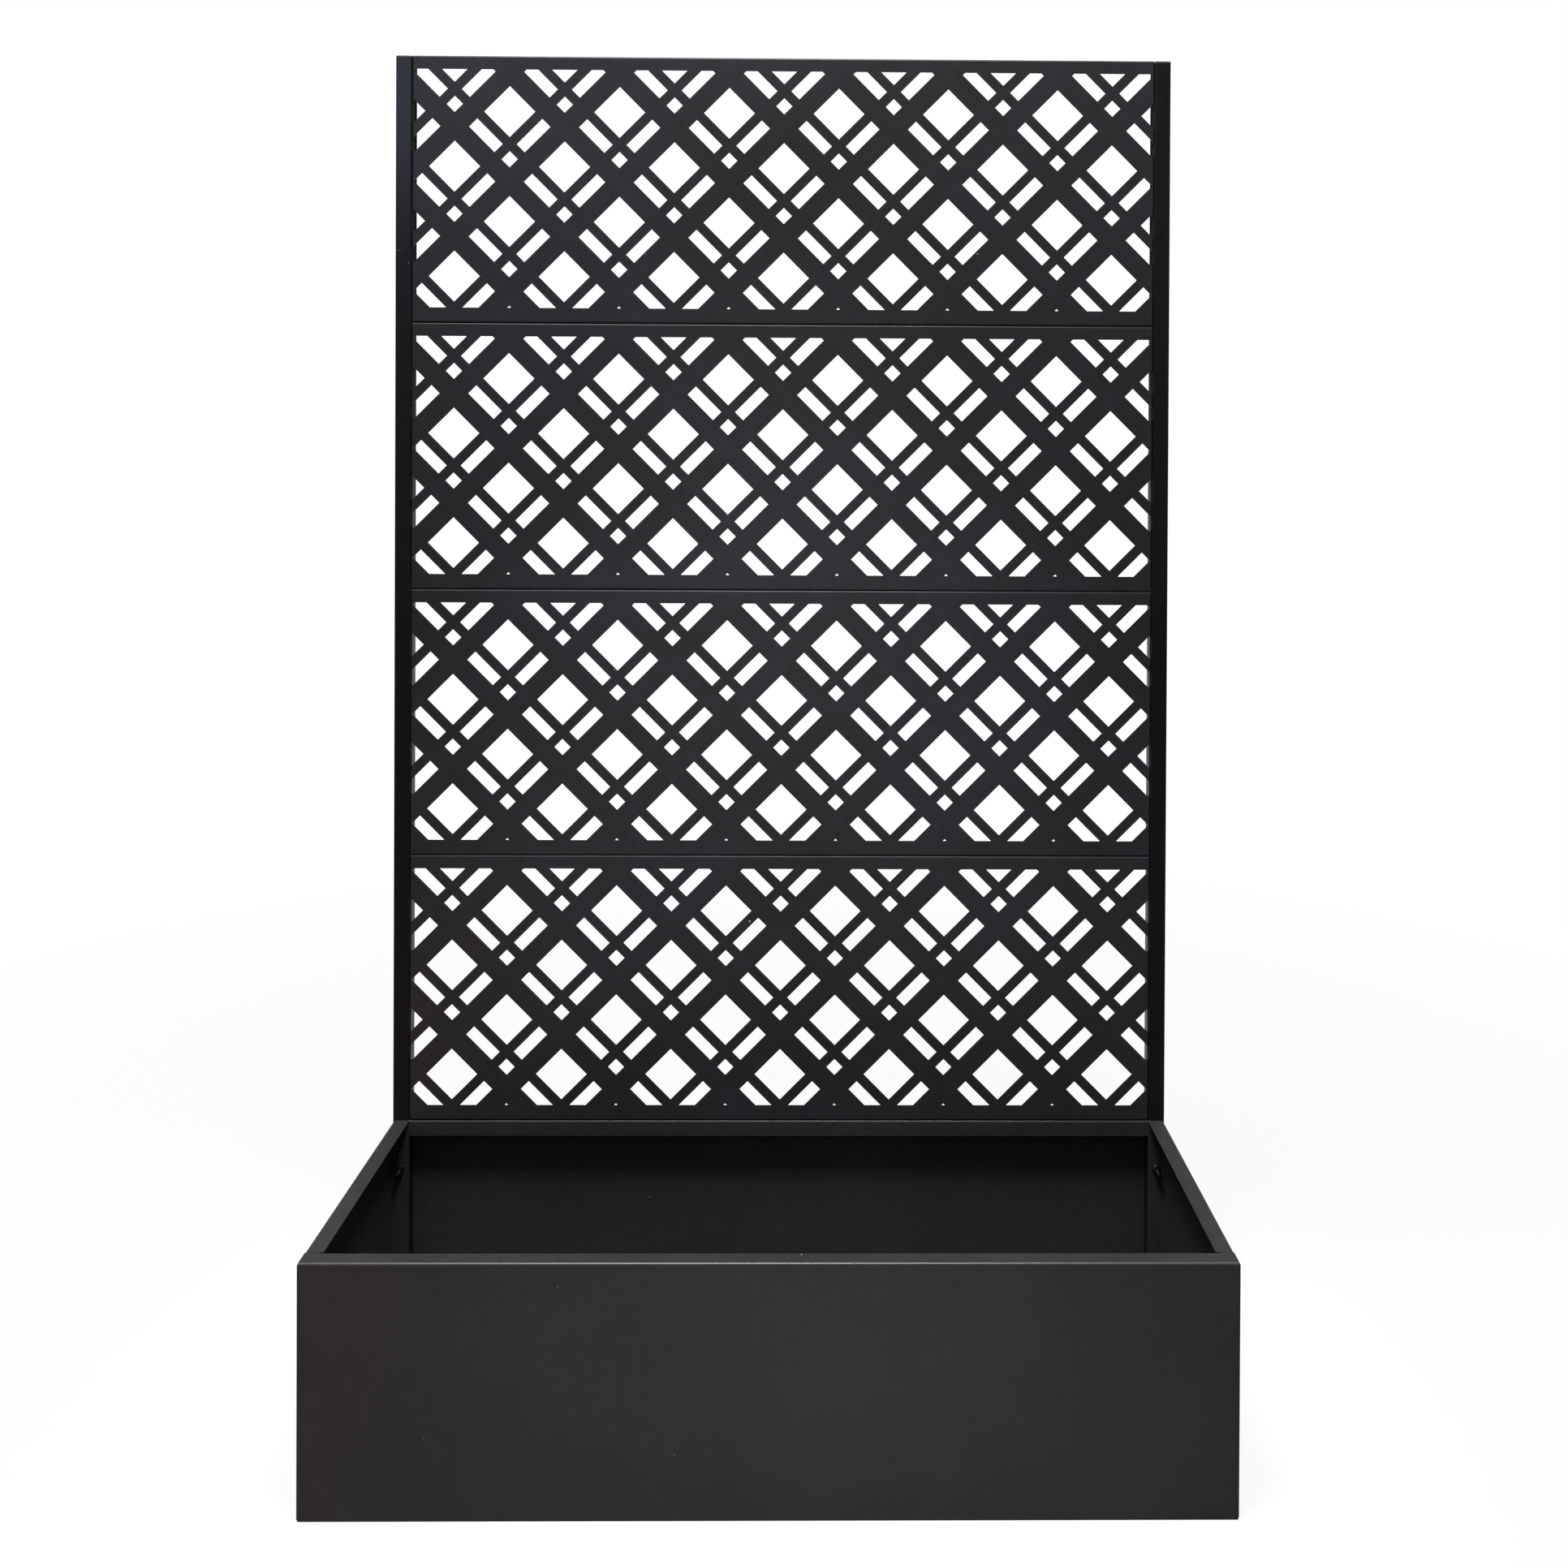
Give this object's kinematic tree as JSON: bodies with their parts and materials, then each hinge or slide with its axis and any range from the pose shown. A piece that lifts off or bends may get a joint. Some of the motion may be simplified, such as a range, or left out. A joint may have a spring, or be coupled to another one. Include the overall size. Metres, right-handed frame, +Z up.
{
  "type": "planter with trellis",
  "caption": "Long rectangular floor planter folded from coated sheet steel, with square rear posts that carry a tall diagonal-lattice trellis screen for climbing plants.",
  "frame": {"origin": "on the ground, at the middle of the part's outline in plan", "axes": "+X along the width from left to right as seen from the front, +Y from the front towards the trellis at the back, +Z up"},
  "size_m": [1.2, 0.4014, 1.98],
  "materials": {
    "coated_steel": "black powder coat, satin, very finely textured",
    "bare_steel": "plain zinc-plated tube, hidden inside the posts",
    "cap_plastic": "moulded black plastic, fine grain",
    "dark_fixings": "black zinc plating, satin"
  },
  "bodies": {
    "root": {"front_panel": "coated_steel", "back_panel": "coated_steel", "floor_panel": "coated_steel", "left_side_panel": "coated_steel", "left_post_lower": "coated_steel", "left_post_upper": "coated_steel", "left_post_spigot": "bare_steel", "left_post_cap": "cap_plastic", "left_trellis_bolts": "dark_fixings", "left_trellis_nuts": "dark_fixings", "left_corner_bolts": "dark_fixings", "left_corner_nuts": "dark_fixings", "left_front_studs": "dark_fixings", "left_front_nuts": "dark_fixings", "left_floor_bolts": "dark_fixings", "left_floor_nuts": "dark_fixings", "right_side_panel": "coated_steel", "right_post_lower": "coated_steel", "right_post_upper": "coated_steel", "right_post_spigot": "bare_steel", "right_post_cap": "cap_plastic", "right_trellis_bolts": "dark_fixings", "right_trellis_nuts": "dark_fixings", "right_corner_bolts": "dark_fixings", "right_corner_nuts": "dark_fixings", "right_front_studs": "dark_fixings", "right_front_nuts": "dark_fixings", "right_floor_bolts": "dark_fixings", "right_floor_nuts": "dark_fixings", "trellis_panel_1": "coated_steel", "trellis_panel_2": "coated_steel", "trellis_panel_3": "coated_steel", "trellis_panel_4": "coated_steel"}
  },
  "joints": []
}
